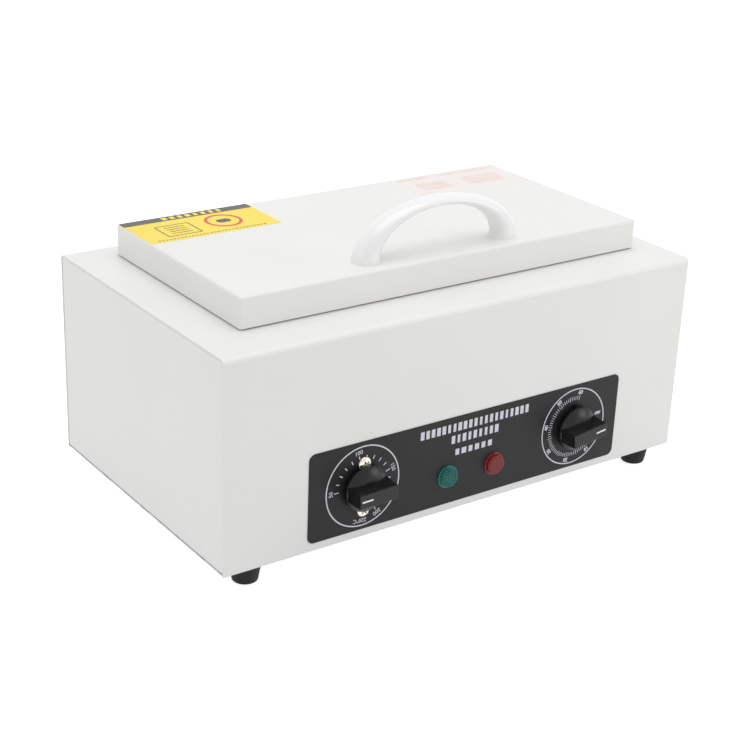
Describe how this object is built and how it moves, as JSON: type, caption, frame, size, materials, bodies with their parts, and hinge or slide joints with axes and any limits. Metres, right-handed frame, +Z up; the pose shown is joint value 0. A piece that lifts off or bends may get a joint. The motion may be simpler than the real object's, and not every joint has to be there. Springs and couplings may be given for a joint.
{
  "type": "dry heat sterilizer",
  "caption": "Bench dry heat sterilizer: white folded-steel case, hinged lid with an arched handle over a stainless chamber, and a dark front panel with knobs and lamps.",
  "frame": {"origin": "middle of the overall footprint, on the plane that the feet stand on", "axes": "+X to the right seen from the front, +Y to the back, +Z up"},
  "size_m": [0.32, 0.2036, 0.182],
  "materials": {
    "white_powder_coat": "satin",
    "stainless": "brushed",
    "galvanised": "satin",
    "rubber_black": "matte",
    "knob_black": "satin",
    "handle_white": "gloss",
    "panel_grey": "satin",
    "lens_green": "gloss",
    "lens_red": "gloss",
    "wool": "matte",
    "ceramic": "satin",
    "phenolic": "matte",
    "nickel": "polished",
    "black_zinc": "satin",
    "copper": "satin",
    "sheath": "matte"
  },
  "bodies": {
    "case": {"case_wrapper": "white_powder_coat", "side_panel_left": "white_powder_coat", "side_panel_right": "white_powder_coat", "base_plate": "galvanised", "base_screws": "nickel", "foot_front_left": "rubber_black", "foot_rear_left": "rubber_black", "foot_front_right": "rubber_black", "foot_rear_right": "rubber_black", "foot_screws": "nickel", "chamber_tub": "stainless", "heat_shield": "galvanised", "insulation_floor": "wool", "insulation_wrap": "wool", "heating_element": "sheath", "element_clamps": "stainless", "tub_studs": "stainless", "clamp_nuts": "nickel", "control_panel": "panel_grey", "thermostat_screws": "nickel", "timer_screws": "black_zinc", "thermostat_plate": "galvanised", "timer_plate": "galvanised", "thermostat_body": "phenolic", "timer_body": "phenolic", "thermostat_bulb": "copper", "heating_lamp_lens": "lens_green", "heating_lamp_holder": "knob_black", "power_lamp_lens": "lens_red", "power_lamp_holder": "knob_black", "power_inlet": "knob_black", "inlet_pins": "nickel", "inlet_screws": "nickel", "thermal_cutout": "phenolic", "cutout_screws": "nickel", "terminal_block": "ceramic", "terminal_screws": "nickel", "instrument_tray": "stainless", "hinge_case_leaf_left": "stainless", "hinge_case_leaf_right": "stainless", "hinge_pin_left": "stainless", "hinge_pin_right": "stainless", "hinge_case_screws": "nickel"},
    "lid": {"lid_shell": "white_powder_coat", "lid_pan": "stainless", "lid_insulation": "wool", "handle": "handle_white", "handle_screws": "nickel", "hinge_lid_leaf_left": "stainless", "hinge_lid_leaf_right": "stainless", "hinge_lid_screws": "nickel"},
    "thermostat_dial": {"thermostat_knob": "knob_black", "thermostat_shaft": "nickel"},
    "timer_dial": {"timer_knob": "knob_black", "timer_shaft": "nickel"}
  },
  "joints": [
    {"name": "lid_hinge", "type": "hinge", "parent": "case", "child": "lid", "pos_m": [0.0048, 0.0857, 0.1363], "axis": [-1, 0, 0], "range_deg": [0, 100]},
    {"name": "thermostat_turn", "type": "hinge", "parent": "case", "child": "thermostat_dial", "pos_m": [-0.0734, -0.0856, 0.042], "axis": [0, 1, 0], "range_deg": [0, 274]},
    {"name": "timer_turn", "type": "hinge", "parent": "case", "child": "timer_dial", "pos_m": [0.0777, -0.0856, 0.042], "axis": [0, 1, 0], "range_deg": [0, 288]}
  ]
}
